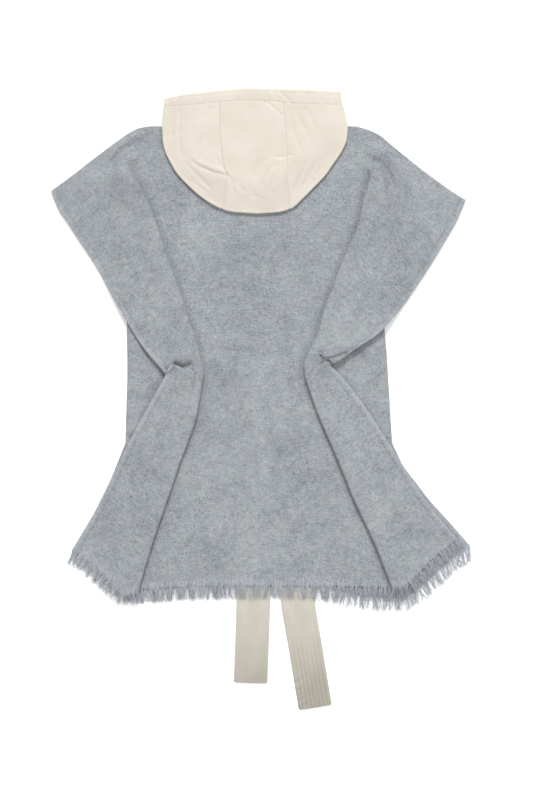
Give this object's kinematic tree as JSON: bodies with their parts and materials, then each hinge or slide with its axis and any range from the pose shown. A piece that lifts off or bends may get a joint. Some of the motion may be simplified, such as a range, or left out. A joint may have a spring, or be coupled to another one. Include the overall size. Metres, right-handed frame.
{
  "type": "cape coat",
  "caption": "Hooded wool cape coat laid flat, back up, with pleated wing sides, a waist tuck, fringed hem and two sewn ties.",
  "frame": {"origin": "middle of the garment's box, on the surface that it lies on", "axes": "+Y up the body from the hem towards the hood, +X across the body to the right as seen from above, +Z away from the surface; the back of the coat faces +Z"},
  "size_m": [0.7422, 1.0914, 0.0318],
  "materials": {
    "wool": "thick felted blanket wool, grey-blue melange with a soft nap",
    "fringe": "loose wool threads of the same cloth",
    "nylon": "smooth cream nylon with a slight sheen",
    "webbing": "stone-coloured band with rows of lengthwise stitching"
  },
  "bodies": {
    "root": {"back": "wool", "front_left": "wool", "front_right": "wool", "fringe_back_left": "fringe", "fringe_back_centre": "fringe", "fringe_back_right": "fringe", "fringe_front_left": "fringe", "fringe_front_right": "fringe", "hood_left": "nylon", "hood_centre": "nylon", "hood_right": "nylon", "hood_band": "nylon", "tie_left": "webbing", "tie_right": "webbing"}
  },
  "joints": []
}
